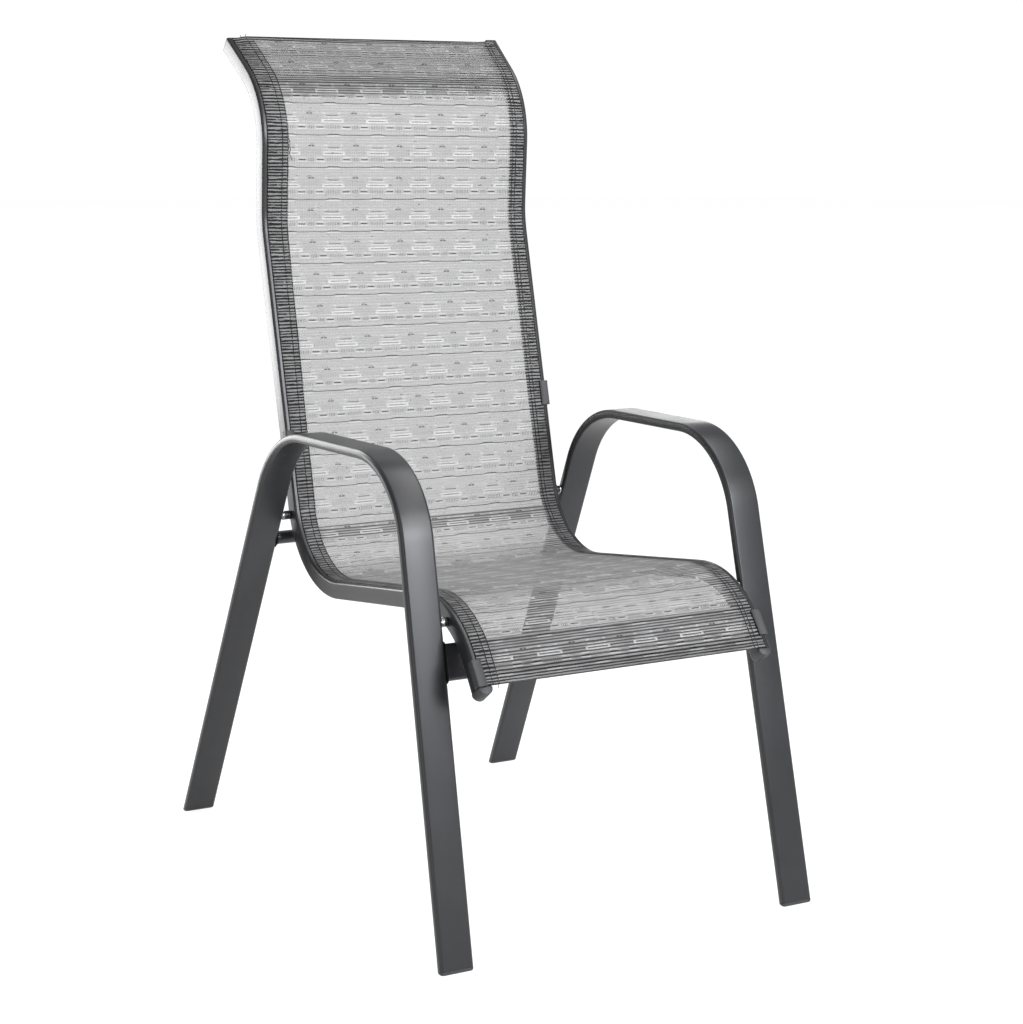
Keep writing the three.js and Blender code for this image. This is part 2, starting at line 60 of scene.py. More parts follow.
def node_place(node, side=1):
    """Where a node lies: its inner and outer ends on one side, then its middle in the side view."""
    low, high = (Vector(corner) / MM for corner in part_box(node))
    inner, outer = sorted((side * low.x, side * high.x))
    return inner, outer, (low.y + high.y) / 2 - SHIFT, (low.z + high.z) / 2


# ---------------------------------------------------------------- sizes
FOOT_DEPTH = 787
ARM_FRONT = (138.2, 604.5, 122)
ARM_REAR = (489, 599.3, 139)
ARM_SPACING = 479.3
FRONT_FOOT_SPACING = 505.8
REAR_FOOT_SPACING = 517.6
TUBE_WIDTH = 46
TUBE_THICKNESS = 12
TUBE_CORNER = 4.5
RAIL_CORNERS = [
    (10.9, 346.2), (81.6, 445.7, 136), (513.9, 391, 112),
    (627.6, 867.6, 149), (616.7, 1040.4, 123), (723, 1119.8),
]
RAIL_WIDTH = 19
RAIL_DEPTH = 23.4
RAIL_CORNER = 3
RAIL_WALL = 1.6
SLOT_FROM_EDGE = 8.2
SLOT_WIDTH = 3.2
TOP_FLARE = 6
SHEET_LIFT = 0.9
GLIDE_HEIGHT = 5
GLIDE_ROUND = 3
CLIP_LENGTH = 35
CLIP_THICKNESS = 1.8
CLIP_LIFT = 1.8
CLIP_OUT = 2.1
CLIP_CORNER = 1.9
CLIP_SIDE = 7
HEM_REACH = 3.6
REAR_BAR_RADIUS = 9
SPREADER_RADIUS = 9.5
SPREADER_FROM_TOP = 90.5

# Weave: one repeat is 68.25 mm across. LINE_PLACES gives lengths along the sling where dark lines lie
# and each line's number from the front edge. The darker streaky bands are partly streaks in the cloth
# and partly painted shade of the seat: they are strong on the seat and fade over SEAT_SHADE_ROWS, and
# the hems begin over HEM_FADE, in millimetres from the middle.
REPEAT_ACROSS = 68.25
REPEAT_CENTRE = -0.2
LINE_PLACES = [(14.9, 0), (148, 3), (583.7, 13), (847.5, 19), (1159, 26)]
LINE_PHASE = 0.034
SEAT_SHADE_ROWS = (9.0, 12.5)
HEM_FADE = (171.0, 180.0)


# ---------------------------------------------------------------- routes and sections
class Route:
    """Straight runs and round bends in a side view, from corners (y, z) or (y, z, radius)."""

    def __init__(self, corners):
        self.pieces = []
        self.length = 0
        start = Vector(corners[0][:2])
        for i in range(1, len(corners) - 1):
            corner = Vector(corners[i][:2])
            tangent_in = (corner - Vector(corners[i - 1][:2])).normalized()
            tangent_out = (Vector(corners[i + 1][:2]) - corner).normalized()
            turn = math.atan2(tangent_in.cross(tangent_out), tangent_in.dot(tangent_out))
            radius = corners[i][2]
            trim = radius * math.tan(abs(turn) / 2)
            bend_start = corner - tangent_in * trim
            self.add(start, tangent_in, (bend_start - start).length, 0, 0)
            self.add(bend_start, tangent_in, radius * abs(turn), turn, radius)
            start = corner + tangent_out * trim
        last = Vector(corners[-1][:2])
        self.add(start, (last - start).normalized(), (last - start).length, 0, 0)

    def add(self, start, tangent, length, turn, radius):
        self.pieces.append((self.length, length, start, tangent, turn, radius))
        self.length += length

    def at(self, distance):
        piece = next((p for p in self.pieces if distance <= p[0] + p[1]), self.pieces[-1])
        begin, _, start, tangent, turn, radius = piece
        along = distance - begin
        if turn == 0:
            point, ahead = start + tangent * along, tangent
        else:
            sign = math.copysign(1, turn)
            angle = sign * along / radius
            c, s = math.cos(angle), math.sin(angle)
            ahead = Vector((tangent.x * c - tangent.y * s, tangent.x * s + tangent.y * c))
            reach = radius * sign
            point = start + Vector((reach * (ahead.y - tangent.y), -reach * (ahead.x - tangent.x)))
        return SimpleNamespace(y=point.x, z=point.y, ty=ahead.x, tz=ahead.y, ny=-ahead.y, nz=ahead.x,
                               d=distance, x=0, deepen=1, widen=1)

    def places(self, start, end, step, run):
        """Stops between two distances: every step degrees in bends and every run mm on straights."""
        stops = {start, end}
        for begin, length, _, _, turn, _ in self.pieces:
            parts = max(1, math.ceil(abs(math.degrees(turn)) / step) if turn else math.ceil(length / run))
            stops.update(begin + length * i / parts for i in range(parts + 1))
        return [self.at(d) for d in sorted(stops) if start <= d <= end]


def rounded(low_n, high_n, low_x, high_x, radius, segments):
    """A rectangle with round corners, as (n, x) points."""
    points = []
    centres = ((high_n - radius, low_x + radius, -90), (high_n - radius, high_x - radius, 0),
               (low_n + radius, high_x - radius, 90), (low_n + radius, low_x + radius, 180))
    for cn, cx, begin in centres:
        for i in range(segments + 1):
            a = math.radians(begin + 90 * i / segments)
            points.append((cn + radius * math.cos(a), cx + radius * math.sin(a)))
    return points


def circle(radius, count):
    return [(radius * math.cos(2 * math.pi * i / count), radius * math.sin(2 * math.pi * i / count))
            for i in range(count)]


QUARTER = [math.radians(15 * i) for i in range(7)]
TUBE_SECTION = rounded(-TUBE_THICKNESS / 2, TUBE_THICKNESS / 2, -TUBE_WIDTH / 2, TUBE_WIDTH / 2,
                       TUBE_CORNER, 7)
loop_route = Route([(0, 0), ARM_FRONT, ARM_REAR, (FOOT_DEPTH, 0)])
rail_route = Route(RAIL_CORNERS)
HIP_START = rail_route.pieces[3][0]
NECK_START = rail_route.pieces[7][0]
RAIL_OUTER = node_place("left_sling_rail", -1)[1] - TOP_FLARE
FOOT_FLARE = node_place("left_foot_cap", -1)[1] - RAIL_OUTER
RAIL_CENTRE = RAIL_OUTER - RAIL_WIDTH / 2
RAIL_INNER = RAIL_OUTER - RAIL_WIDTH
SLOT_X = RAIL_OUTER - SLOT_FROM_EDGE
TOE = (REAR_FOOT_SPACING - FRONT_FOOT_SPACING) / 2 / FOOT_DEPTH
LEAN = ((FRONT_FOOT_SPACING - ARM_SPACING) / 2 + TOE * ARM_FRONT[0]) / ARM_FRONT[1]


def flare(distance):
    """How much wider the rails stand towards their feet and their tops."""
    knee = max(0, 1 - distance / HIP_START)
    neck = max(0, (distance - NECK_START) / (rail_route.length - NECK_START))
    return FOOT_FLARE * knee ** 2 + TOP_FLARE * neck ** 2


def flared(places, side):
    for p in places:
        p.x = side * flare(min(max(p.d, 0), rail_route.length))
    return places


def loop_centre(y, z):
    """Half the distance between the side loops' middles, which narrows upwards and widens rearwards."""
    return FRONT_FOOT_SPACING / 2 + TOE * y - LEAN * z


def loop_inner(y, z):
    return loop_centre(y, z) - TUBE_WIDTH / 2


# ---------------------------------------------------------------- mesh making
def make(name, points, faces, material, uvs=None, crease=35, solid=True):
    """A mesh object from points in millimetres. Edges sharper than the crease angle stay sharp."""
    mesh = bpy.data.meshes.new(name)
    mesh.from_pydata([(x * MM, (y + SHIFT) * MM, z * MM) for x, y, z in points], [], faces)
    if uvs:
        layer = mesh.uv_layers.new(name="weave")
        for loop in mesh.loops:
            layer.data[loop.index].uv = uvs[loop.vertex_index]
    mesh.validate()
    obj = bpy.data.objects.new(name, mesh)
    bpy.context.scene.collection.objects.link(obj)
    mesh.materials.append(material)
    if solid:
        bm = bmesh.new()
        bm.from_mesh(mesh)
        bmesh.ops.recalc_face_normals(bm, faces=bm.faces)
        bm.to_mesh(mesh)
        bm.free()
    mesh.polygons.foreach_set("use_smooth", [True] * len(mesh.polygons))
    mesh.set_sharp_from_angle(angle=math.radians(crease))
    return obj


def stacked(rings):
    """A closed body with flat ends through rings of as many points each, as points and faces."""
    count = len(rings[0])
    end = (len(rings) - 1) * count
    faces = [tuple(range(count)), tuple(range(end, end + count))]
    for a in range(0, end, count):
        for j in range(count):
            k = (j + 1) % count
            faces.append((a + j, a + k, a + count + k, a + count + j))
    return [point for ring in rings for point in ring], faces


def sweep(section, places, x0=0, lean=0):
    """A closed section carried along places. lean makes it follow the side loop's slope."""
    rings = []
    for p in places:
        side_view = [(p.y + p.ny * n * p.deepen, p.z + p.nz * n * p.deepen) for n, _ in section]
        rings.append([(x0 + p.x + lean * loop_centre(y, z) + x * p.widen, y, z)
                      for (_, x), (y, z) in zip(section, side_view)])
    return stacked(rings)


def off(p, x, along, out):
    """The point at x that lies along and out from a place."""
    return x, p.y + p.ty * along + p.ny * out, p.z + p.tz * along + p.nz * out


def merge(*parts):
    """Several bodies as one, as points and faces."""
    points, faces = [], []
    for more_points, more_faces in parts:
        base = len(points)
        points += more_points
        faces += [tuple(i + base for i in f) for f in more_faces]
    return points, faces


def lathe(profile, x, y, z, side, segments=40):
    """A turned body on a line along X from (radius, distance) pairs that start and end on the axis."""
    points, faces, rings = [], [], []
    for radius, distance in profile:
        if radius == 0:
            rings.append([len(points)])
            points.append((x + side * distance, y, z))
            continue
        rings.append(list(range(len(points), len(points) + segments)))
        for i in range(segments):
            a = 2 * math.pi * i / segments
            points.append((x + side * distance, y + radius * math.cos(a), z + radius * math.sin(a)))
    for low, high in zip(rings, rings[1:]):
        for i in range(segments):
            j = (i + 1) % segments
            quad = [low[i % len(low)], low[j % len(low)], high[j % len(high)], high[i % len(high)]]
            face = tuple(dict.fromkeys(quad))
            if len(face) > 2:
                faces.append(face)
    return points, faces


def piece(obj, slot, *nodes):
    """Puts an object under the root body and hides the nodes that it stands for; slot is not used."""
    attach(obj, "root")
    if nodes:
        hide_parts(*nodes)
    return obj


# ---------------------------------------------------------------- node helpers
class Graph:
    """Short calls for building the nodes of a new material, or of a new world."""

    def __init__(self, name, world=False):
        self.owner = (bpy.data.worlds if world else bpy.data.materials).new(name)
        self.owner.use_nodes = True
        self.tree = self.owner.node_tree
        self.shader = next(n for n in self.tree.nodes if n.outputs)
        self.output = next(n for n in self.tree.nodes if not n.outputs)

    def node(self, kind, **settings):
        made = self.tree.nodes.new(kind)
        for key, value in settings.items():
            setattr(made, key, value)
        return made

    def put(self, socket, value):
        if isinstance(value, bpy.types.NodeSocket):
            self.tree.links.new(value, socket)
        else:
            socket.default_value = value

    def join(self, kind, *values, **settings):
        """The first output of a new node whose inputs take values in their order."""
        made = self.node(kind, **settings)
        for socket, value in zip(made.inputs, values):
            self.put(socket, value)
        return made.outputs[0]

    def math(self, operation, *values):
        return self.join("ShaderNodeMath", *values, operation=operation)

    def add(self, a, b):
        return self.math("ADD", a, b)

    def mul(self, a, b):
        return self.math("MULTIPLY", a, b)

    def sub(self, a, b):
        return self.math("SUBTRACT", a, b)

    def fract(self, a):
        return self.math("FRACT", a)

    def away(self, a, centre):
        return self.math("ABSOLUTE", self.sub(a, centre))

    def both(self, *masks):
        return functools.reduce(self.mul, masks)

    def either(self, *masks):
        return functools.reduce(lambda a, b: self.math("MAXIMUM", a, b), masks)

    def invert(self, a):
        return self.sub(1.0, a)

    def less(self, a, b):
        return self.math("LESS_THAN", a, b)

    def near(self, value, centre, reach):
        """1 where a value is within reach of a centre."""
        return self.math("COMPARE", value, centre, reach)

    def mix(self, factor, a, b):
        made = self.node("ShaderNodeMix", data_type="RGBA")
        self.put(made.inputs["Factor"], factor)
        self.put(made.inputs[6], a)
        self.put(made.inputs[7], b)
        return made.outputs[2]

    def noise(self, coordinates, scale, detail=3.0, rough=0.55, stretch=None):
        made = self.node("ShaderNodeTexNoise")
        if stretch:
            mapping = self.node("ShaderNodeMapping")
            self.put(mapping.inputs["Vector"], coordinates)
            mapping.inputs["Scale"].default_value = stretch
            coordinates = mapping.outputs[0]
        for key, value in (("Vector", coordinates), ("Scale", scale), ("Detail", detail),
                           ("Roughness", rough)):
            self.put(made.inputs[key], value)
        return made.outputs["Fac"]

    def remap(self, value, low, high, to_low=0.0, to_high=1.0):
        return self.join("ShaderNodeMapRange", value, low, high, to_low, to_high)

    def bump(self, height, strength, distance):
        made = self.node("ShaderNodeBump")
        for key, value in (("Strength", strength), ("Distance", distance), ("Height", height)):
            self.put(made.inputs[key], value)
        return made.outputs[0]

    def object_place(self):
        return self.node("ShaderNodeTexCoord").outputs["Object"]

    def weave_place(self):
        """The weave's own coordinates, whole and as across and along."""
        uv = self.node("ShaderNodeUVMap", uv_map="weave").outputs[0]
        parts = self.node("ShaderNodeSeparateXYZ")
        self.put(parts.inputs[0], uv)
        return uv, parts.outputs[0], parts.outputs[1]

    def surface(self, values):
        for key, value in values.items():
            self.put(self.shader.inputs[key], value)


def coated(name, dark, light, rough, grain, bump, mottle=9.0, plain=()):
    """A sprayed or moulded surface: fine grain, slow mottling and faint rubbed marks. rough is a pair
    of lowest and highest, and plain holds further shader inputs and their values."""
    g = Graph(name)
    place = g.object_place()
    slow = g.noise(place, mottle, 4.0)
    fine = g.noise(place, grain, 2.0, 0.6)
    rub = g.noise(place, 60.0, 5.0, 0.65, (1.0, 1.0, 0.18))
    rubbed = g.remap(rub, 0.62, 0.78)
    base = g.mix(g.remap(slow, 0.3, 0.7), (*dark, 1), (*light, 1))
    brighter = tuple(min(1.0, c * 1.35 + 0.004) for c in light)
    g.surface({"Base Color": g.mix(g.mul(rubbed, 0.35), base, (*brighter, 1)),
               "Roughness": g.remap(g.add(g.mul(slow, 0.5), g.mul(rub, 0.5)), 0.3, 0.7, *rough),
               "Normal": g.bump(fine, bump, 0.0002)})
    g.surface(dict(plain))
    return g.owner


def thread():
    g = Graph("black_thread")
    twist = g.noise(g.object_place(), 2400.0, 2.0, 0.6, (1.0, 1.0, 3.0))
    g.surface({"Base Color": g.mix(twist, (0.006, 0.006, 0.007, 1), (0.028, 0.028, 0.03, 1)),
               "Roughness": 0.75, "Normal": g.bump(twist, 0.4, 0.0002)})
    return g.owner


def backing():
    """Black tape under the hems: a fine close weave, whose hollows are painted darker than its tops as
    painted shade.
    """
    g = Graph("hem_tape")
    _, u, v = g.weave_place()
    height = g.mul(g.math("SINE", g.mul(u, 2 * math.pi * 62)), g.math("SINE", g.mul(v, 2 * math.pi * 40)))
    # Painted shade: the tape's colour follows its relief, darker in the weave's hollows and lighter on
    # its tops.
    shade = g.remap(height, -1.0, 1.0)
    g.surface({"Base Color": g.mix(shade, (0.006, 0.006, 0.007, 1), (0.022, 0.022, 0.024, 1)),
               "Roughness": 0.85, "Normal": g.bump(height, 0.5, 0.0003)})
    return g.owner


# Rows of the weave, as shares of a repeat above its dark line: where the gaps between the ribs lie.
GAP_ROWS = [0.0, 0.106, 0.216, 0.344, 0.434, 0.512, 0.6, 0.727, 0.816, 0.897]
WARPS_PER_REPEAT = 52


def weave(name):
    """The open mesh: pale ribs in rows with gaps between, dark warp threads across the gaps, and a
    repeat of dark and white floats, hexagons and small marks. Its UVs count repeats. Light comes
    through the yarns, so what lies behind them shows in their shade. Known faults: openness reads
    Layer Weight, so the holes, colour and specular level change with the viewing angle, and the
    specular level is linked, which the export drops."""
    g = Graph(name)
    uv, u, v = g.weave_place()
    wander = g.noise(uv, 2.2, 2.0, 0.5, (1.0, 3.0, 1.0))
    v = g.add(v, g.remap(wander, 0.2, 0.8, -0.007, 0.007))
    across = g.away(g.fract(g.add(u, 0.5)), 0.5)
    mid = g.sub(0.5, across)
    row = g.fract(v)
    line_row = g.sub(g.fract(g.add(v, 0.5)), 0.5)
    facing = g.node("ShaderNodeLayerWeight")
    facing.inputs["Blend"].default_value = 0.5
    openness = g.remap(facing.outputs["Facing"], 0.36, 0.76, 1.0, 0.0)
    hem = g.remap(g.away(g.mul(u, REPEAT_ACROSS), -REPEAT_CENTRE), *HEM_FADE)

    # Rib profile: 1 in the middle of a gap, 0 in the middle of a rib.
    ramp = g.node("ShaderNodeValToRGB")
    stops = ramp.color_ramp.elements
    stops[0].color = stops[1].color = (1, 1, 1, 1)
    for low, high in zip(GAP_ROWS, GAP_ROWS[1:] + [1.0]):
        stops.new((low + high) / 2).color = (0, 0, 0, 1)
        if high < 1:
            stops.new(high).color = (1, 1, 1, 1)
    g.put(ramp.inputs[0], row)
    profile = ramp.outputs[0]
    uneven = g.remap(g.noise(uv, 1.0, 3.0, 0.6, (3.0, 24.0, 1.0)), 0.3, 0.7, -0.12, 0.12)
    gap_height = g.add(g.add(g.remap(openness, 0.0, 1.0, 0.6, 0.5), g.mul(hem, 0.05)),
                       g.mul(uneven, g.add(1.0, g.mul(hem, 1.8))))
    gap_row = g.math("GREATER_THAN", profile, g.invert(gap_height))
    warp_phase = g.fract(g.mul(u, float(WARPS_PER_REPEAT)))
    heavy = g.less(g.fract(g.mul(u, WARPS_PER_REPEAT / 2)), 0.5)
    warp = g.less(warp_phase, g.add(g.sub(0.93, g.mul(openness, 0.36)), g.mul(heavy, 0.12)))
    check = g.both(heavy, g.less(warp_phase, 0.9))

    # Figures. across is 0 on the small marks' column, and mid is 0 midway to the next.
    line = g.near(g.sub(line_row, g.remap(mid, 0.09, 0.19, 0.024, 0.0)), -0.024,
                  g.remap(mid, 0.11, 0.15, 0.0135, 0.0095))
    beside = g.away(across, 0.202)
    dashes = g.both(g.near(row, 0.222, 0.0135), g.less(beside, 0.078))
    aside = g.away(row, 0.222)
    small = g.less(g.either(g.mul(aside, 19.0), g.add(g.mul(across, 13.0), g.mul(aside, 6.0))), 1.0)
    hexagon = g.either(g.mul(aside, 17.0), g.add(g.mul(mid, 6.2), g.mul(aside, 2.8)))
    big = g.less(hexagon, 1.0)
    ring = g.near(hexagon, 0.9, 0.1)
    from_bar = g.away(row, 0.415)
    bracket = g.both(g.less(from_bar, 0.053), g.less(mid, 0.255),
                     g.either(g.less(0.027, from_bar), g.less(0.205, mid)))
    in_bracket = g.both(g.less(from_bar, 0.008), g.less(mid, 0.185))
    pale = g.either(g.both(g.near(row, 0.54, 0.013), g.less(mid, 0.2)),
                    g.both(g.near(row, 0.172, 0.015), g.less(beside, 0.1)),
                    g.both(g.near(row, 0.29, 0.012), g.less(beside, 0.085)),
                    g.both(g.near(line_row, -0.055, 0.013), g.less(mid, 0.15)),
                    g.both(g.near(row, 0.66, 0.02), g.near(across, 0.33, 0.03)))
    block = g.both(g.near(row, 0.505, 0.105),
                   g.less(g.add(across, g.mul(g.less(0.47, row), 0.028)), 0.243))
    bars = g.both(block, g.either(g.near(row, 0.42, 0.018), g.near(row, 0.505, 0.014)))
    bar_ends = g.both(g.near(row, 0.42, 0.017), g.near(across, 0.232, 0.011))
    thin_dash = g.both(g.near(row, 0.592, 0.01), g.less(mid, 0.125))
    mark = g.both(g.near(row, 0.652, 0.018), g.less(across, 0.065), g.less(0.009, across))
    crown = g.both(g.near(row, 0.7, 0.026), g.less(across, 0.042))
    stray = g.noise(uv, 1.0, 1.0, 0.5, (7.0, 20.0, 1.0))
    stray = g.both(g.less(0.71, stray), g.less(0.66, profile))

    floats = g.either(line, dashes, thin_dash, bracket, in_bracket, pale, mark, stray)
    filled = g.both(check, g.either(small, big, crown))
    holes = g.both(g.either(gap_row, g.less(profile, g.mul(openness, 0.05))), g.invert(warp),
                   g.invert(floats), g.invert(filled))

    # Colour: pale ribs that vary from yarn to yarn, thin warps between them that are dark on a dark
    # ground and lighter against light, then the figures' own yarns.
    streak = g.noise(uv, 14.0, 3.0, 0.6, (1.0, 16.0, 1.0))
    cloud = g.noise(uv, 1.6, 3.0, 0.5)
    columns = g.noise(uv, 1.0, 3.0, 0.7, (26.0, 3.0, 1.0))
    courses = g.noise(uv, 1.0, 3.0, 0.65, (1.3, 9.0, 1.0))
    # Painted shade: darker streaky bands, strong on the seat, stand partly for streaks in the cloth and
    # partly for the shade the seat shows when seen low along its surface.
    bands_and_seat_shade = g.noise(uv, 1.0, 3.0, 0.75, (0.6, 2.6, 1.0))
    seat_shade_strength = g.remap(v, *SEAT_SHADE_ROWS, 1.0, 0.2)
    yarn = g.mix(g.remap(streak, 0.3, 0.7), (0.42, 0.419, 0.416, 1), (0.5, 0.499, 0.495, 1))
    for factor, tone in ((g.mul(g.remap(cloud, 0.45, 0.7), 0.35), (0.41, 0.39, 0.37)),
                         (g.remap(courses, 0.4, 0.66, 0.0, 0.4), (0.3, 0.294, 0.287)),
                         (g.remap(columns, 0.4, 0.62, 0.0, 0.22), (0.34, 0.338, 0.334)),
                         (g.mul(g.remap(bands_and_seat_shade, 0.4, 0.58, 0.0, 0.7), seat_shade_strength), (0.2, 0.195, 0.19)),
                         (g.mul(check, 0.2), (0.22, 0.219, 0.216)),
                         (g.mul(hem, 0.15), (0.5, 0.499, 0.495))):
        yarn = g.mix(factor, yarn, (*tone, 1))
    shade = g.either(g.mul(block, 0.12), g.mul(bars, 0.24), g.mul(small, g.add(0.2, g.mul(check, 0.4))),
                     g.mul(big, g.mul(check, 0.4)), g.mul(ring, 0.2), g.mul(crown, 0.35))
    arms = g.mul(bracket, g.invert(g.mul(g.less(0.205, mid), 0.25)))
    light_yarn = g.mul(g.either(arms, g.mul(pale, 0.65)), g.remap(columns, 0.4, 0.7, 1.0, 0.4))
    light_yarn = g.mul(light_yarn, g.invert(g.mul(hem, 0.85)))
    inked = g.either(*(g.mul(*pair) for pair in (
        (line, 0.96), (dashes, 0.96), (thin_dash, 0.7), (in_bracket, 0.4), (bar_ends, 0.5), (mark, 0.85),
        (stray, 0.6))))
    # Warps in the gap rows, shown a little stronger in the hems. Their near-black reflected colour is
    # partly the warps' own dark yarn and partly painted shade of the recessed gaps.
    gap_warp_and_shade = g.mul(g.both(gap_row, warp), g.add(0.9, g.mul(hem, 0.08)))

    def figured(warp_colour):
        shown = g.mix(gap_warp_and_shade, yarn, (*warp_colour, 1))
        shown = g.mix(shade, shown, (0.1, 0.1, 0.1, 1))
        shown = g.mix(light_yarn, shown, (0.68, 0.679, 0.67, 1))
        return g.mix(inked, shown, (0.022, 0.022, 0.022, 1))

    # Relief: round ribs, warp threads and a small twist in each yarn.
    round_warp = g.math("SINE", g.mul(u, math.pi * WARPS_PER_REPEAT))
    height = g.add(g.mul(g.invert(profile), 0.7), g.add(g.mul(round_warp, 0.2), g.mul(streak, 0.3)))
    # Painted shade: the warps' near-black colour here and the low specular level in the gaps stand partly
    # for the shade of the recessed gaps.
    g.surface({"Base Color": figured((0.045, 0.045, 0.045)),
               "Roughness": g.remap(streak, 0.3, 0.7, 0.5, 0.68),
               "Specular IOR Level": g.remap(gap_row, 0.0, 1.0, 0.42, 0.08),
               "Sheen Weight": 0.08, "Sheen Roughness": 0.4, "Normal": g.bump(height, 0.5, 0.0006)})

    # The yarns let part of the light through, and the holes all of it.
    through = g.join("ShaderNodeBsdfTranslucent", figured((0.38, 0.38, 0.38)))
    yarns = g.join("ShaderNodeMixShader", 0.36, g.shader.outputs[0], through)
    clear = g.join("ShaderNodeBsdfTransparent")
    g.put(g.output.inputs[0], g.join("ShaderNodeMixShader", holes, yarns, clear))
    return g.owner


PAINT = coated("powder_coat", (0.02, 0.0205, 0.0225), (0.027, 0.0275, 0.03), (0.27, 0.34), 1300.0, 0.1,
               plain={"Specular IOR Level": 0.42})
GREY = coated("grey_plastic", (0.036, 0.0365, 0.039), (0.05, 0.051, 0.054), (0.46, 0.58), 2200.0, 0.15)
GLIDE = coated("glide_plastic", (0.03, 0.03, 0.032), (0.045, 0.045, 0.048), (0.45, 0.6), 1800.0, 0.25,
               mottle=40.0)
SPACER = coated("spacer_plastic", (0.006, 0.006, 0.007), (0.012, 0.012, 0.013), (0.35, 0.5), 2000.0, 0.15)
ZINC = coated("zinc_plate", (0.42, 0.43, 0.44), (0.55, 0.555, 0.56), (0.24, 0.38), 2600.0, 0.12,
              mottle=160.0, plain={"Metallic": 1.0})
THREAD = thread()
TAPE = backing()
MESH = weave("sling_mesh")


# ---------------------------------------------------------------- frame
def build_loops():
    foot = GLIDE_HEIGHT / loop_route.at(0).tz
    tail = loop_route.length - GLIDE_HEIGHT / abs(loop_route.at(loop_route.length).tz)
    for word, side in SIDES:
        places = loop_route.places(foot, tail, 2.5, 40)
        for end in (places[0], places[-1]):
            end.ny, end.nz = -1 / end.tz, 0
        tube = sweep(TUBE_SECTION, places, lean=side)
        piece(make(f"{word}_loop_tube", *tube, PAINT), "powder_coat", f"{word}_arm_loop")


def rail_section(side):
    """A box with rolled lips at the slot, through which its hollow shows."""
    edge, half = RAIL_WIDTH / 2, SLOT_WIDTH / 2
    outer = edge - SLOT_FROM_EDGE + half
    inner = outer - SLOT_WIDTH
    skin = rounded(-RAIL_DEPTH, 0, -edge, edge, RAIL_CORNER, 5)
    turn = len(skin) // 4
    lip, front, back = 0.35, -RAIL_WALL, RAIL_WALL - RAIL_DEPTH
    path = [(-lip, outer), (0, outer + lip), *skin[turn:], *skin[:turn], (0, inner - lip), (-lip, inner),
            (front, inner), (front, RAIL_WALL - edge), (back, RAIL_WALL - edge), (back, edge - RAIL_WALL),
            (front, edge - RAIL_WALL), (front, outer)]
    return [(n, side * x) for n, x in path]


def build_rails():
    for word, side in SIDES:
        places = flared(rail_route.places(0, rail_route.length, 2.5, 40), side)
        rail = sweep(rail_section(side), places, side * RAIL_CENTRE)
        piece(make(f"{word}_rail_profile", *rail, PAINT), "powder_coat", f"{word}_sling_rail")


def resampled(points, step):
    """Points at even steps round a closed outline."""
    out = []
    ring = points + points[:1]
    total = sum(math.dist(a, b) for a, b in zip(ring, ring[1:]))
    count = round(total / step)
    want, walked = 0.0, 0.0
    for a, b in zip(ring, ring[1:]):
        length = math.dist(a, b)
        while want < walked + length - 1e-9 and len(out) < count:
            f = (want - walked) / length
            out.append((a[0] + (b[0] - a[0]) * f, a[1] + (b[1] - a[1]) * f))
            want += total / count
        walked += length
    return out


def weld(name, outline, y0, z0, end_at, side, leg, reach_limit=None):
    """A hollow fillet round a bar's end, rippled along its length. outline holds (y, z) offsets and
    end_at(y, z) gives the place across where the bar meets the side."""
    lines = 6
    count = len(outline)
    points, faces = [], []
    for i, (dy, dz) in enumerate(outline):
        (py, pz), (qy, qz) = outline[i - 1], outline[(i + 1) % count]
        length = math.hypot(qy - py, qz - pz)
        oy, oz = (qz - pz) / length, (py - qy) / length
        if oy * dy + oz * dz < 0:
            oy, oz = -oy, -oz
        ripple = 1 + 0.05 * math.cos(i * 2.1) + 0.04 * math.sin(i * 0.9)
        for k in range(lines):
            a = math.radians(90 * k / (lines - 1))
            out = leg * ripple * (1 - math.sin(a)) - 0.1
            back = leg * ripple * (1 - math.cos(a))
            y, z = y0 + dy + oy * out, z0 + dz + oz * out
            if reach_limit:
                y, z = reach_limit(y, z)
            points.append((side * (end_at(y, z) + 0.15 - back), y, z))
    for i in range(count):
        j = (i + 1) % count
        for k in range(lines - 1):
            faces.append((i * lines + k, j * lines + k, j * lines + k + 1, i * lines + k + 1))
    piece(make(name, points, faces, PAINT, crease=80, solid=False), "powder_coat")


def leg_limit(start, end):
    """Keeps a weld on the narrow inner face of a leg whose centreline runs from start to end."""
    along = (Vector(end[:2]) - Vector(start[:2])).normalized()
    half = TUBE_THICKNESS / 2 - 0.6

    def limit(y, z):
        away = Vector((y, z)) - Vector(start[:2])
        lateral = away.x * along.y - away.y * along.x
        excess = lateral - max(-half, min(half, lateral))
        return y - excess * along.y, z + excess * along.x
    return limit


def round_bar(name, radius, end, y, z, node):
    """A round tube from -end to end, with rings 8 mm from its ends."""
    profile = [(0, 0), (radius, 0), (radius, 8), (radius, 2 * end - 8), (radius, 2 * end), (0, 2 * end)]
    piece(make(name, *lathe(profile, -end, y, z, 1, 56), PAINT), "powder_coat", node)


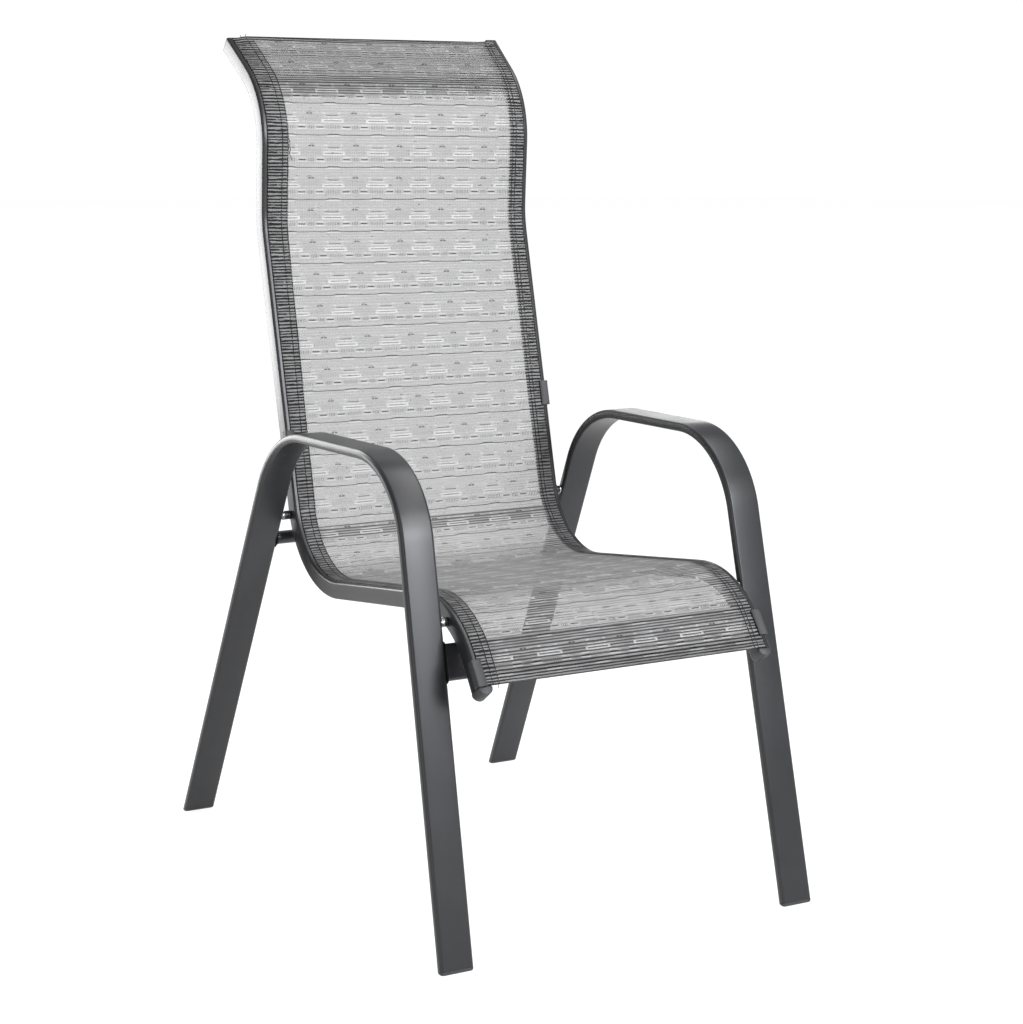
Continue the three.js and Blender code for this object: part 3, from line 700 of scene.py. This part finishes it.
def build_crossbars():
    *_, y0, z0 = node_place("front_crossbar")
    tilt = -math.atan2(ARM_FRONT[0], ARM_FRONT[1])
    c, s = math.cos(tilt), math.sin(tilt)
    outline = [(n * c - w * s, n * s + w * c) for n, w in TUBE_SECTION]
    spots = [(y0 + dy, z0 + dz) for dy, dz in outline]
    bar = stacked([[(share * (loop_inner(y, z) - 0.05), y, z) for y, z in spots]
                   for share in (-1.0, -0.97, 0.97, 1.0)])
    piece(make("front_crossbar_tube", *bar, PAINT), "powder_coat", "front_crossbar")

    *_, y1, z1 = node_place("rear_crossbar")
    round_bar("rear_crossbar_tube", REAR_BAR_RADIUS, loop_inner(y1, z1) + 0.1, y1, z1, "rear_crossbar")
    for word, side in SIDES:
        weld(f"{word}_front_weld", resampled(outline, 0.8), y0, z0, loop_inner, side, 3.2)
        weld(f"{word}_rear_weld", circle(REAR_BAR_RADIUS, 72), y1, z1, loop_inner, side, 4.6,
             leg_limit(ARM_REAR, (FOOT_DEPTH, 0)))


def build_spreader():
    place = rail_route.at(rail_route.length - SPREADER_FROM_TOP)
    _, y0, z0 = off(place, 0, 0, -RAIL_DEPTH / 2)
    end = RAIL_INNER + flare(place.d)
    round_bar("back_spreader_tube", SPREADER_RADIUS, end + 0.1, y0, z0, "back_spreader")
    for word, side in SIDES:
        weld(f"{word}_spreader_weld", circle(SPREADER_RADIUS, 72), y0, z0, lambda y, z: end, side, 2.2)


# ---------------------------------------------------------------- feet, caps and clips
def build_glides():
    # How far each level's outline is drawn in: a round lower edge, then a step inside the tube's end.
    levels = [(GLIDE_ROUND * (1 - math.cos(a)), GLIDE_ROUND * (1 - math.sin(a))) for a in QUARTER]
    levels += [(GLIDE_HEIGHT - 0.6, 0), (GLIDE_HEIGHT - 0.25, 0.35), (GLIDE_HEIGHT + 0.05, 0.9)]
    feet = (("front", loop_route.at(0)), ("rear", loop_route.at(loop_route.length)))
    for word, side in SIDES:
        for end, foot in feet:
            places = [SimpleNamespace(x=0, y=foot.y + foot.ty * height / foot.tz, z=height,
                                      ny=-1 / foot.tz, nz=0, deepen=1 - 2 * inset / TUBE_THICKNESS,
                                      widen=1 - 2 * inset / TUBE_WIDTH) for height, inset in levels]
            glide = sweep(TUBE_SECTION, places, lean=side)
            obj = make(f"{word}_{end}_foot_glide", *glide, GLIDE)
            piece(obj, "glide_plastic", f"{word}_{end}_glide")


def build_caps():
    half_n, half_x = RAIL_DEPTH / 2, RAIL_WIDTH / 2
    plate = rounded(-RAIL_DEPTH, 0, -half_x, half_x, RAIL_CORNER, 6)
    levels = [(0.05, 0.4), (0.4, 0.05), (1.5, 0.05), (2.0, 0.3), (2.2, 0.9), (2.25, 2.2)]
    # Foot cap: a half round seen from the front, with softened edges at its front and back.
    arc = circle(half_x, 40)[20:] + [(half_x, 0.0)]
    slices = [(0.0, 1.0), (-0.35, 0.35), (-1.0, 0.0), (1.0 - RAIL_DEPTH, 0.0), (0.35 - RAIL_DEPTH, 0.35),
              (-RAIL_DEPTH, 1.0)]
    top, foot = rail_route.at(rail_route.length), rail_route.at(0)
    for word, side in SIDES:
        x0 = side * (RAIL_CENTRE + flare(top.d))
        cap = stacked([[off(top, x0 + x * (1 - inset / half_x), distance,
                            (n + half_n) * (1 - inset / half_n) - half_n) for n, x in plate]
                       for distance, inset in levels])
        piece(make(f"{word}_rail_top_cap", *cap, GREY), "grey_plastic", f"{word}_top_cap")

        x0 = side * (RAIL_CENTRE + flare(foot.d))
        cap = stacked([[off(foot, x0 + x * (1 - inset / half_x), z * (1 - inset / half_x) - 0.25, n)
                        for x, z in arc] for n, inset in slices])
        piece(make(f"{word}_rail_foot_cap", *cap, GREY), "grey_plastic", f"{word}_foot_cap")


def distance_at_height(height):
    """The distance along the rail at which its upper part reaches a height."""
    low, high = HIP_START, rail_route.length
    while high - low > 0.01:
        middle = (low + high) / 2
        low, high = (middle, high) if rail_route.at(middle).z < height else (low, middle)
    return low


def build_clips():
    edge = RAIL_WIDTH / 2
    hem = edge - SLOT_FROM_EDGE + 0.9
    lid = CLIP_LIFT + CLIP_THICKNESS
    section = [(-CLIP_SIDE, edge + 0.35), (0.25, edge + 0.3), (0.3, hem), (CLIP_LIFT, hem),
               (CLIP_LIFT, hem - HEM_REACH + 0.3), (CLIP_LIFT + 0.3, hem - HEM_REACH),
               (lid - 0.5, hem - HEM_REACH), (lid, hem - HEM_REACH + 0.6)]
    section += [(lid - CLIP_CORNER * (1 - math.cos(a)), edge + CLIP_OUT - CLIP_CORNER * (1 - math.sin(a)))
                for a in QUARTER]
    section += [(-CLIP_SIDE + 0.5, edge + CLIP_OUT), (-CLIP_SIDE, edge + CLIP_OUT - 0.4)]
    starts = (("left_front_bumper", -1, 0.4), ("right_front_bumper", 1, 18.0),
              ("left_back_bumper", -1, distance_at_height(589) - CLIP_LENGTH),
              ("right_back_bumper", 1, distance_at_height(632) - CLIP_LENGTH))
    for node, side, start in starts:
        places = flared(rail_route.places(start, start + CLIP_LENGTH, 2.0, 6), side)
        clip = sweep([(n, side * x) for n, x in section], places, side * RAIL_CENTRE)
        obj = make(f"{node}_clip", *clip, GREY, crease=40)
        bevel = obj.modifiers.new("soft_ends", "BEVEL")
        bevel.width = 0.45 * MM
        bevel.segments = 2
        bevel.limit_method = "ANGLE"
        bevel.angle_limit = math.radians(60)
        piece(obj, "grey_plastic", node)


# ---------------------------------------------------------------- joints
HEAD_DEPTH = 3.2
SOCKET_DEPTH = 1.9
SOCKET_REACH = 1.5


def bolt_head(x, y, z, side, count=36):
    """A low dome and then its six-sided socket, from the dome's back to the socket's floor."""
    turns = [2 * math.pi * i / count for i in range(count)]
    dome = ((4.75, HEAD_DEPTH), (4.75, 2.2), (4.5, 1.3), (3.9, 0.6), (3.0, 0.15), (1.9, 0.0))
    sixth = math.pi / 3
    socket = [SOCKET_REACH * math.cos(sixth / 2) / math.cos(a % sixth - sixth / 2) + 0.1 for a in turns]
    outlines = [([radius] * count, depth) for radius, depth in dome]
    outlines += [(socket, 0.0), (socket, SOCKET_DEPTH)]
    return stacked([[(x + side * depth, y + radius * math.cos(a), z + radius * math.sin(a))
                     for radius, a in zip(radii, turns)] for radii, depth in outlines])


def build_joints():
    for word, side in SIDES:
        for end in ("front", "rear"):
            joint = f"{word}_{end}"
            inner, outer, y, z = node_place(f"{joint}_spacer", side)
            inner -= 0.25
            length = outer - inner + 0.2
            profile = [(0, 0), (5.3, 0), (5.8, 0.25), (6.0, 0.8), (6.0, length / 2 - 0.4),
                       (5.85, length / 2), (6.0, length / 2 + 0.4), (6.0, length - 0.8),
                       (5.8, length - 0.25), (5.3, length), (0, length)]
            spacer = lathe(profile, side * inner, y, z, side)
            piece(make(f"{joint}_stand_off", *spacer, SPACER), "spacer_plastic", f"{joint}_spacer")

            inner, outer, y, z = node_place(f"{joint}_washer", side)
            profile = [(0, 0), (5.9, 0), (6.4, 0.15), (6.5, 0.5), (6.5, 0.9), (6.3, 1.15), (0, 1.2)]
            washer = lathe(profile, side * inner, y, z, side)
            piece(make(f"{joint}_cup_washer", *washer, ZINC), "washer_plate", f"{joint}_washer")

            inner, outer, y, z = node_place(f"{joint}_bolt", side)
            profile = [(0, HEAD_DEPTH), (2.5, HEAD_DEPTH), (2.5, outer - inner), (0, outer - inner)]
            shank = lathe(profile, side * inner, y, z, side, 24)
            bolt = merge(bolt_head(side * inner, y, z, side), shank)
            piece(make(f"{joint}_socket_bolt", *bolt, ZINC, crease=30), "zinc_plate", f"{joint}_bolt")


# ---------------------------------------------------------------- sling
SLING_START = 0.6
SLING_END = rail_route.length - 1


def interpolate(value, table):
    """The table's value there, on straight lines of which the last goes on."""
    for (x0, y0), (x1, y1) in zip(table, table[1:]):
        if value <= x1:
            break
    return y0 + (y1 - y0) * (value - x0) / (x1 - x0)


def weave_uv(u, v):
    """Repeats across and along. The rows slant a little on the back."""
    tilt = 0.021 * min(1, max(0, (v - 420) / 560))
    return (u - REPEAT_CENTRE) / REPEAT_ACROSS, interpolate(v + tilt * u, LINE_PLACES) + LINE_PHASE


def sag(u, v):
    """How far the stretched sheet stands off the rails' front line: it sags a little between them."""
    bowl = max(0.0, 1 - (u / (RAIL_INNER - 1)) ** 2)
    seat = 2.6 * math.exp(-((v - 250) / 170) ** 2) + 1.2 * math.exp(-((v - 760) / 260) ** 2)
    ripple = 0.35 * math.sin(v / 17 + 1.3 * math.sin(u / 60)) * math.exp(-((v - 1180) / 120) ** 2)
    ripple += 0.2 * math.sin(v / 23 + u / 90)
    return (ripple - seat) * bowl


def skew(u, v):
    """The sheet was cut a little out of square: its top edge stands higher on the left."""
    share = max(0.0, 1 - (SLING_END - v) / 60)
    ease = min(1.0, max(0.0, (RAIL_INNER + 8 - abs(u)) / 16))
    return share * share * (0.4 - 0.024 * u) * ease


def sling_point(u, v, lift):
    """The point u across and v along the sheet, at lift off the rails' front line."""
    v += skew(u, v)
    return off(rail_route.at(v), u * (1 + flare(v) / SLOT_X), 0, lift + sag(u, v))


def grid(name, lines, material, lift=SHEET_LIFT, edge=(), offset=0.0):
    """A sheet through lines, each a distance v and its places across. edge turns its sides down, as
    (past the slot line, lift). offset moves the weave along it."""
    points, uvs = [], []
    for v, across in lines:
        line = [(-SLOT_X - out, drop, drop - lift - out - SLOT_X) for out, drop in reversed(edge)]
        line += [(u, lift, u) for u in across]
        line += [(SLOT_X + out, drop, SLOT_X + out + lift - drop) for out, drop in edge]
        for u, n, along in line:
            points.append(sling_point(u, v, n))
            uvs.append(weave_uv(along, v + offset))
    width = len(points) // len(lines)
    faces = [(a + j, a + j + 1, a + width + j + 1, a + width + j)
             for a in range(0, len(points) - width, width) for j in range(width - 1)]
    return make(name, points, faces, material, uvs, crease=80, solid=False)


def spread(low, high, count):
    return [low + (high - low) * i / count for i in range(count + 1)]


def strand(path, radius):
    """A thin round thread through points."""
    spots = [Vector(p) for p in path]
    rings = []
    for i, spot in enumerate(spots):
        ahead = (spots[min(i + 1, len(spots) - 1)] - spots[max(i - 1, 0)]).normalized()
        across = ahead.cross(Vector((0.3, 1, 0.2))).normalized()
        up = ahead.cross(across)
        rings.append([tuple(spot + across * a + up * b) for a, b in circle(radius, 6)])
    return stacked(rings)


def smooth_path(knots, parts=6):
    """Catmull-Rom points through knots."""
    out = []
    for i in range(len(knots) - 1):
        a, b, c, d = (Vector(knots[min(max(i + k, 0), len(knots) - 1)]) for k in (-1, 0, 1, 2))
        for step in range(parts):
            t = step / parts
            out.append(0.5 * (2 * b + (c - a) * t + (2 * a - 5 * b + 4 * c - d) * t * t
                              + (3 * b - a - 3 * c + d) * t ** 3))
    return out + [Vector(knots[-1])]


# Loose thread ends, as (across, along, off the sheet): one curl by the left hem and tufts at corners.
LOOSE_ENDS = [
    [(-171.4, 1111, 0.9), (-169.6, 1106, 1.5), (-170.4, 1100, 2.6), (-169.2, 1095, 2.2),
     (-170.3, 1090, 1.6), (-168.2, 1085, 2.4), (-167.4, 1081, 3.0)],
    [(-188.5, 1285, 0.8), (-188, 1289, 1.2), (-187.2, 1290.2, 1.0), (-187.6, 1291.2, 0.2)],
    [(-180.5, 1285, 0.8), (-180, 1290, 1.0), (-178.6, 1290.8, 1.4), (-177.8, 1291.8, 1.0)],
    [(186, 3, 0.6), (187.2, 0, 1.2), (186.4, -3, 1.0), (187.4, -5.5, 0.4)],
    [(-184, 3, 0.6), (-183.2, 0, 1.0), (-184.2, -2.5, 1.2), (-183.4, -4, 0.6)],
]

# Hems: where each one's inner edge lies, as (distance along the sling, place across), and how far
# outside that edge its two seams run. A stitch has a pitch, a length and half a width.
LEFT_HEM = [(0, -180), (560, -179.5), (860, -174.5), (1000, -172), (1100, -170.7), (1290, -171.5)]
RIGHT_HEM = [(0, 181), (400, 180), (600, 178), (860, 178.5), (1100, 179.3), (1290, 182.5)]
HEMS = (("left", -1, LEFT_HEM, (1.2, 9.6)), ("right", 1, RIGHT_HEM, (4.4, 9.6)))
STITCH = (4.3, 3.5, 0.68)


def hem_line(v, side, table):
    """A hem's places across, from its wavering inner edge to the slot."""
    inner = interpolate(v, table) + 0.5 * math.sin(v / 31) + 0.25 * math.sin(v / 7.3)
    return v, spread(inner, side * SLOT_X, 6)


def stitches(side, table, seams):
    """Rows of flat stitches that rise a little in their middle, as points and faces."""
    points, faces = [], []
    pitch, length, half = STITCH
    for offset in seams:
        v = SLING_START + 2
        while v < SLING_END - 4:
            wobble = random.uniform(-0.25, 0.25)
            base = len(points)
            for dv, rise in ((0, 0.05), (length / 2, 0.4), (length, 0.05)):
                for du in (-half, half):
                    u = interpolate(v + dv, table) + side * offset + du + wobble * 0.4
                    points.append(sling_point(u, v + dv, SHEET_LIFT + rise))
            faces += [(base, base + 1, base + 3, base + 2), (base + 2, base + 3, base + 5, base + 4)]
            v += pitch + wobble * 0.3
    return points, faces


def build_sling():
    rows = spread(SLING_START, SLING_END, round((SLING_END - SLING_START) / 5.0))
    edge = [(0.35, 0.75), (0.6, 0.4), (0.6, -0.6), (0.6, -1.7)]
    flat = spread(-SLOT_X, SLOT_X, 56)
    cloth = grid("sling_cloth", [(v, flat) for v in rows], MESH, edge=edge)
    piece(cloth, "sling_mesh", "sling_fabric")
    with_pieces = []

    for word, side, table, seams in HEMS:
        lines = [hem_line(v, side, table) for v in rows]
        tape = grid(f"{word}_hem_tape", lines, TAPE, lift=SHEET_LIFT - 0.5)
        sewn = stitches(side, table, seams)
        seam = make(f"{word}_hem_stitches", *sewn, THREAD, crease=180, solid=False)
        with_pieces += [piece(tape, "sling_mesh"), piece(seam, "sling_mesh")]

    # The top is folded back to the spreader, and both ends have a narrow dark tape in their fold.
    folded = [SLING_END - 0.2 - i * 4.2 for i in range(29)]
    layers = [("sling_top_fold", folded, MESH, 1.6), ("sling_top_tape", folded[:3], TAPE, 0.8),
              ("sling_top_binding", [SLING_END - 2.3, SLING_END - 0.9, SLING_END - 0.1], TAPE, -0.25),
              ("sling_front_tape", [SLING_START + 0.2 + i * 2 for i in range(10)], TAPE, 0.8)]
    flat = spread(-RAIL_INNER + 3, RAIL_INNER - 3, 40)
    for name, lengths, material, below in layers:
        lines = [(v, flat) for v in sorted(lengths)]
        layer = grid(name, lines, material, lift=SHEET_LIFT - below, offset=2.2)
        with_pieces.append(piece(layer, "sling_mesh"))

    loose = [strand([sling_point(*spot) for spot in smooth_path(knots)], 0.4) for knots in LOOSE_ENDS]
    ends = make("loose_thread_ends", *merge(*loose), THREAD, crease=180)
    with_pieces.append(piece(ends, "sling_mesh"))


build_loops()
build_rails()
build_crossbars()
build_spreader()
build_glides()
build_caps()
build_clips()
build_joints()
build_sling()

# Inner pieces that stay as they are take their finishes.
for name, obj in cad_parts.items():
    material = ZINC if name.endswith("insert") else GREY if name.endswith("rod") else None
    if material and obj.type == "MESH":
        for slot in obj.material_slots:
            slot.material = material


# ---------------------------------------------------------------- stage, light and camera
def paper_material(name, glow, shade):
    """White paper: the camera and mirrors see its glow plus the light that falls on it, so that it is
    full white and still takes the chair's soft shadow."""
    g = Graph(name)
    g.tree.nodes.remove(g.shader)
    paper = g.join("ShaderNodeBsdfDiffuse", (0.86, 0.86, 0.86, 1))
    lit = g.join("ShaderNodeBsdfDiffuse", (shade, shade, shade, 1))
    glowing = g.join("ShaderNodeAddShader", lit, g.join("ShaderNodeEmission", (glow, glow, glow, 1), 1.0))
    rays = g.node("ShaderNodeLightPath").outputs
    seen = g.either(*(rays[f"Is {kind} Ray"] for kind in ("Camera", "Glossy", "Transmission")))
    g.put(g.output.inputs[0], g.join("ShaderNodeMixShader", seen, paper, glowing))
    return g.owner


def staged(name, points, faces, material):
    mesh = bpy.data.meshes.new(name)
    mesh.from_pydata(points, [], faces)
    mesh.materials.append(material)
    obj = bpy.data.objects.new(name, mesh)
    bpy.context.scene.collection.objects.link(obj)


STAGE_REACH = 20.0
BACKDROP_HEIGHT = 2.1
STAGE_SIDES = 48


def build_stage():
    count = STAGE_SIDES
    rim = circle(STAGE_REACH, count)
    floor = [(x, y, 0) for x, y in rim]
    walls = [(i, (i + 1) % count, (i + 1) % count + count, i + count) for i in range(count)]
    staged("floor", floor, [tuple(range(count))], paper_material("floor_paper", 0.905, 0.28))
    staged("low_backdrop", floor + [(x, y, BACKDROP_HEIGHT) for x, y in rim], walls,
           paper_material("backdrop_paper", 1.0, 0.1))

    # The world lights the chair in grey and is white where the camera sees it.
    sky = Graph("studio", world=True)
    seen = sky.node("ShaderNodeLightPath").outputs["Is Camera Ray"]
    sky.surface({"Color": sky.mix(seen, (0.34, 0.34, 0.345, 1), (1, 1, 1, 1)), "Strength": 1.0})
    bpy.context.scene.world = sky.owner


def area_light(name, place, target, width, height, power, colour=(1, 1, 1)):
    data = bpy.data.lights.new(name, "AREA")
    data.shape = "RECTANGLE"
    data.size = width
    data.size_y = height
    data.energy = power
    data.color = colour
    obj = bpy.data.objects.new(name, data)
    obj.location = place
    obj.rotation_mode = "QUATERNION"
    obj.rotation_quaternion = (Vector(target) - Vector(place)).to_track_quat("-Z", "Y")
    obj.visible_camera = False
    bpy.context.scene.collection.objects.link(obj)


# Name, place, target, width, height, watts and colour. Lengths are in metres.
LIGHTS = (
    ("front_right", (1.03, -3.0, 1.55), (-0.24, -0.3, 0.5), 0.92, 0.92, 61, (0.93, 0.95, 1.0)),
    ("front_upper", (1.2, -2.42, 2.25), (-0.24, -0.3, 0.55), 0.8, 0.8, 24),
    ("front_high", (1.25, -0.85, 3.05), (0.2, -0.85, 0.6), 3.0, 0.75, 34),
    ("behind_right", (1.14, 1.76, 2.28), (-0.24, -0.28, 0.6), 0.9, 1.3, 4),
    ("front_left", (-2.6, -2.2, 1.5), (0, 0, 0.6), 0.4, 2.2, 14),
    ("overhead", (-0.3, 0.4, 3.2), (0, 0, 0.6), 2.2, 2.2, 3),
    ("back_left", (-0.95, 1.85, 1.36), (-0.21, 0.28, 1.3), 0.85, 2.05, 46),
    ("back_right", (2.6, 3.1, 1.24), (0.26, -0.1, 0.6), 1.0, 0.7, 6),
    ("back_high", (-0.5, 3.4, 2.5), (0, 0, 0.6), 1.6, 0.9, 15),
)


# The fitted camera: degrees, millimetres and a focal length in pixels of a picture 1024 wide.
CAMERA_TURN = (-29.855, 9.923, -0.035)
CAMERA_PLACE = (-1597.9, -2478.9 + SHIFT, 1057.9)
FOCAL_PIXELS = 2450.49
FILM_WIDTH = 36


def build_camera():
    azimuth, elevation, roll = map(math.radians, CAMERA_TURN)
    back = Vector((math.sin(azimuth) * math.cos(elevation), -math.cos(azimuth) * math.cos(elevation),
                   math.sin(elevation)))
    right = Vector((math.cos(azimuth), math.sin(azimuth), 0))
    up = back.cross(right)
    matrix = Matrix((right, up, back)).transposed().to_4x4() @ Matrix.Rotation(roll, 4, "Z")
    data = bpy.data.cameras.new("camera")
    data.lens = FILM_WIDTH * FOCAL_PIXELS / 1024
    data.sensor_width = FILM_WIDTH
    camera = bpy.data.objects.new("camera", data)
    matrix.translation = Vector(CAMERA_PLACE) * MM
    camera.matrix_world = matrix
    bpy.context.scene.collection.objects.link(camera)
    bpy.context.scene.camera = camera


build_stage()
for light in LIGHTS:
    area_light(*light)
build_camera()
bpy.context.scene.view_settings.view_transform = "Standard"
